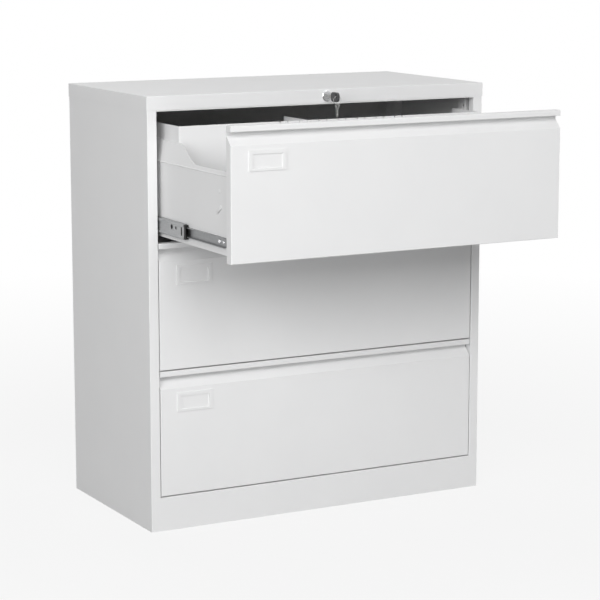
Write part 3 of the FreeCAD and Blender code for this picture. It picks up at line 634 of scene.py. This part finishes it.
def spare_key():
    """The second key, whose hole the ring passes through, turned a little on the ring."""
    low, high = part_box("key_ring")
    hang = Vector(((low.x + high.x) / 2, (low.y + high.y) / 2, 0))
    rest = low.z / MM + 2 * RING_WIRE / MM
    hole = rest - SPARE_HOLE
    outer = spare_outline(rest + SPARE_WEB)
    inner = []
    for i in range(HOLE_POINTS):
        angle = 2 * math.pi * i / HOLE_POINTS
        inner.append((SPARE_HOLE * math.cos(angle), hole + SPARE_HOLE * math.sin(angle)))
    shape = bmesh.new()
    edges = []
    half = SPARE_THICKNESS / 2 * MM
    twist = Matrix.Rotation(SPARE_TWIST, 3, "Z")
    for outline in (outer, inner):
        rim = [shape.verts.new(hang + twist @ Vector((-half, -y * MM, z * MM))) for y, z in outline]
        edges += [shape.edges.new((rim[i], rim[(i + 1) % len(rim)])) for i in range(len(rim))]
    face = bmesh.ops.triangle_fill(shape, use_beauty=True, use_dissolve=False, edges=edges)
    flat = [g for g in face["geom"] if isinstance(g, bmesh.types.BMFace)]
    drawn = bmesh.ops.extrude_face_region(shape, geom=flat, use_keep_orig=True)
    moved = [g for g in drawn["geom"] if isinstance(g, bmesh.types.BMVert)]
    bmesh.ops.translate(shape, verts=moved, vec=twist @ Vector((2 * half, 0, 0)))
    break_edges(add_piece("spare_key", shape, "nickel_steel", "key_ring"), FINE_EDGE)


for each in LEVELS:
    drawer_details(each)
    slide_details(each)
rear_rivets()
plinth_welds()
split_ring()
key_grip()
spare_key()


# Stage, light and camera

PHOTO = 600
FOCAL_PIXELS = 2155
SENSOR = 36
CAMERA_AT = Vector((-2.452, -4.660, 1.405))
CAMERA_YAW = math.radians(28.39)
CAMERA_PITCH = math.radians(9.99)


def camera():
    """The photograph's own viewpoint."""
    data = bpy.data.cameras.new("camera")
    data.sensor_width = SENSOR
    data.lens = SENSOR * FOCAL_PIXELS / PHOTO
    made = bpy.data.objects.new("camera", data)
    made.location = CAMERA_AT
    made.rotation_euler = (math.pi / 2 - CAMERA_PITCH, 0, -CAMERA_YAW)
    bpy.context.scene.collection.objects.link(made)
    bpy.context.scene.camera = made


WHITE = (1, 1, 1, 1)
FLOOR_SIZE = 400
FLOOR_GREY = 0.45
FLOOR_ROUGHNESS = 0.9
FLOOR_GLOSS = 0.1
NEAR_WHITE = 0.86
NEAR = 0.9
FAR = 3.5


def seen_directly(tree):
    """1 for what the camera sees, itself or by reflection, and 0 for the light that falls on things."""
    rays = add(tree, "LightPath")
    made = rays.outputs["Is Camera Ray"]
    for kind in ("Is Glossy Ray", "Is Transmission Ray"):
        made = combine(tree, "MAXIMUM", made, rays.outputs[kind])
    return made


def floor_material():
    """A pale grey that takes shadows close by, and is seen as plain white further off."""
    made, tree, shader = new_material("floor")
    shader.inputs["Base Color"].default_value = (FLOOR_GREY, FLOOR_GREY, FLOOR_GREY, 1)
    shader.inputs["Roughness"].default_value = FLOOR_ROUGHNESS
    shader.inputs["Specular IOR Level"].default_value = FLOOR_GLOSS
    where = add(tree, "TexCoord")
    away = tree.nodes.new("ShaderNodeVectorMath")
    away.operation = "LENGTH"
    tree.links.new(where.outputs["Object"], away.inputs[0])
    white = add(tree, "MapRange", From_Min=NEAR, From_Max=FAR, To_Min=NEAR_WHITE, To_Max=1.0)
    tree.links.new(away.outputs["Value"], white.inputs["Value"])
    share = combine(tree, "MULTIPLY", white.outputs["Result"], seen_directly(tree))
    glow = add(tree, "Emission", Color=WHITE, Strength=1.0)
    mixed = mix_shaders(tree, share, shader.outputs[0], glow.outputs[0])
    tree.links.new(mixed, tree.nodes["Material Output"].inputs["Surface"])
    return made


def floor():
    """A pale floor that keeps the object's soft shadow."""
    mesh = bpy.data.meshes.new("floor")
    half = FLOOR_SIZE / 2
    corners = [(-half, -half, 0), (half, -half, 0), (half, half, 0), (-half, half, 0)]
    mesh.from_pydata(corners, [], [(0, 1, 2, 3)])
    mesh.materials.append(floor_material())
    laid = bpy.data.objects.new("floor", mesh)
    bpy.context.scene.collection.objects.link(laid)


AMBIENT = 0.08


def world():
    """A little light from all sides, and plain white where the camera or a reflection sees it."""
    made = bpy.data.worlds.new("studio")
    made.use_nodes = True
    tree = made.node_tree
    dim = tree.nodes["Background"]
    dim.inputs["Color"].default_value = WHITE
    dim.inputs["Strength"].default_value = AMBIENT
    white = add(tree, "Background", Color=WHITE, Strength=1.0)
    mixed = mix_shaders(tree, seen_directly(tree), dim.outputs[0], white.outputs[0])
    tree.links.new(mixed, tree.nodes["World Output"].inputs["Surface"])
    bpy.context.scene.world = made


# Each lamp's place, its width in metres and its power in watts
LAMPS = {
    "key": ((-1.3, -7.2, 4.4), 4.2, 366),
    "side": ((-4.4, -3.2, 2.6), 3.2, 163),
    "over": ((0.6, 0.6, 7.0), 5.0, 114),
    "back": ((0.4, 6.4, 1.1), 2.0, 170),
    "right": ((6.8, 0.8, 1.1), 2.0, 170),
}
AIM = Vector((0, -0.2, 0.5))


def softbox(name, at, size, power):
    """A square area lamp pointed at the cabinet."""
    data = bpy.data.lights.new(name, "AREA")
    data.size = size
    data.energy = power
    made = bpy.data.objects.new(name, data)
    made.location = at
    made.rotation_euler = (AIM - Vector(at)).to_track_quat("-Z", "Y").to_euler()
    bpy.context.scene.collection.objects.link(made)


world()
floor()
for each, (spot, width, watts) in LAMPS.items():
    softbox(each, spot, width, watts)
camera()
bpy.context.scene.view_settings.view_transform = "Standard"
